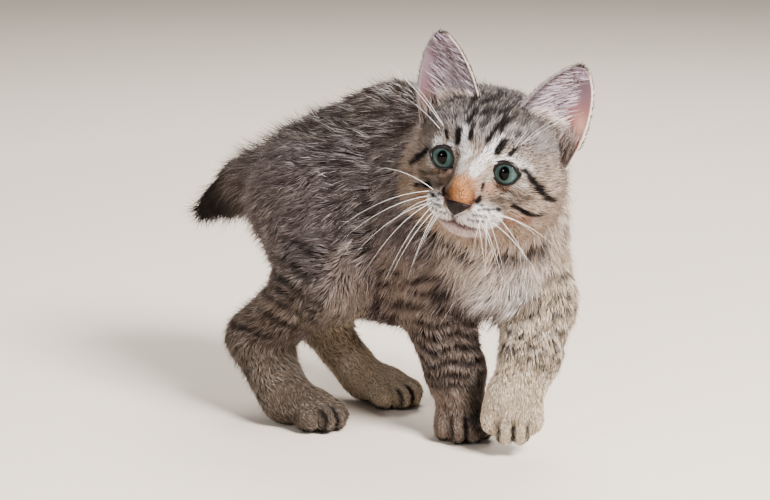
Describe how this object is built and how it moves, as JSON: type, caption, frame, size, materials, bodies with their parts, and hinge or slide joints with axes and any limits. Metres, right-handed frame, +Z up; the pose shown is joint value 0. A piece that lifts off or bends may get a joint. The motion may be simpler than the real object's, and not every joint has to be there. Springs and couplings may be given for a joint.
{
  "type": "bobtail kitten, standing",
  "caption": "Life-size still model of a young grey-brown tabby bobtail kitten, standing hunched with its head turned and a forepaw just off the floor.",
  "frame": {"origin": "on the floor, under the middle of the model's box", "axes": "+Z up, body facing -Y with its length along Y, the cat's left side toward +X, head turned to the cat's right"},
  "size_m": [0.1168, 0.2517, 0.2038],
  "materials": {
    "coat": "soft grey-brown ticked tabby fur, dark stripes, cream chest and belly",
    "ear": "thin pink-lilac skin inside, short fur behind",
    "eye": "wet, clear, teal-green iris with an upright black pupil",
    "nose": "moist dark brown nose leather, finely pebbled"
  },
  "bodies": {
    "root": {"head": "coat", "neck": "coat", "trunk": "coat", "tail": "coat", "foreleg_left": "coat", "foreleg_right": "coat", "hindleg_left": "coat", "hindleg_right": "coat", "forepaw_left": "coat", "forepaw_right": "coat", "hindpaw_left": "coat", "hindpaw_right": "coat", "ear_left": "ear", "ear_right": "ear", "eye_left": "eye", "eye_right": "eye", "nose": "nose"}
  },
  "joints": []
}
